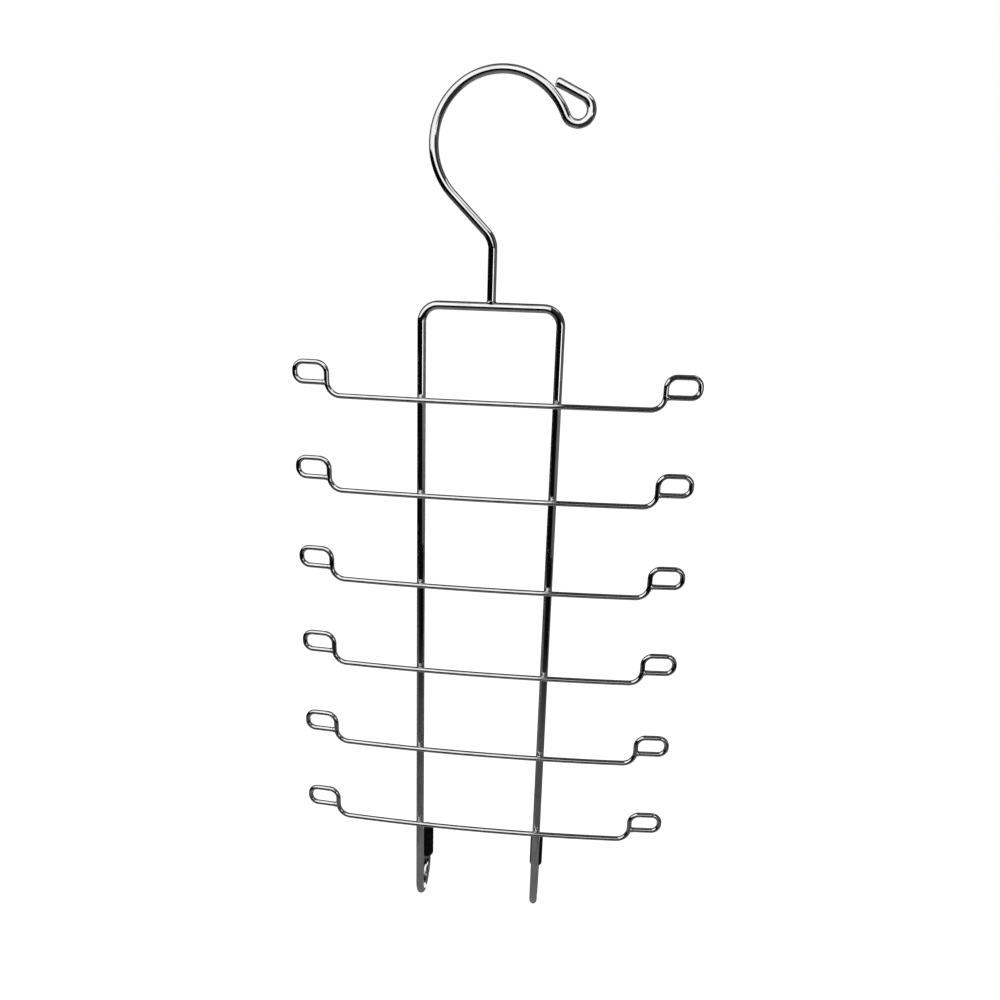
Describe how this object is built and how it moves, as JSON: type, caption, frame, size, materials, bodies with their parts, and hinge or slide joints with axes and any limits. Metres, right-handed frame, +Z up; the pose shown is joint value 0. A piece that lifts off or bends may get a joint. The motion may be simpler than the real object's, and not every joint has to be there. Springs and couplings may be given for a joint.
{
  "type": "scarf hanger",
  "caption": "Wire hanger for scarves: a hook over a narrow frame with bowed crossbars that end in loops, and capped feet turned up behind.",
  "frame": {"origin": "where the rod touches the inside of the hook's bowl, at its highest point, in the middle of the wire", "axes": "+Z up, +X to the right along the crossbars, on the side of the hook's eye, +Y away from the viewer, towards the feet's turned-up ends"},
  "size_m": [0.1839, 0.0304, 0.4118],
  "materials": {
    "chrome": "bright plated",
    "weld": "bright plated, uneven",
    "cap": "matt"
  },
  "bodies": {
    "root": {"frame": "chrome", "hook": "chrome", "crossbar_1": "chrome", "crossbar_2": "chrome", "crossbar_3": "chrome", "crossbar_4": "chrome", "crossbar_5": "chrome", "crossbar_6": "chrome", "left_cap": "cap", "right_cap": "cap", "hook_weld": "weld", "loop_welds_1": "weld", "loop_welds_2": "weld", "loop_welds_3": "weld", "loop_welds_4": "weld", "loop_welds_5": "weld", "loop_welds_6": "weld"}
  },
  "joints": []
}
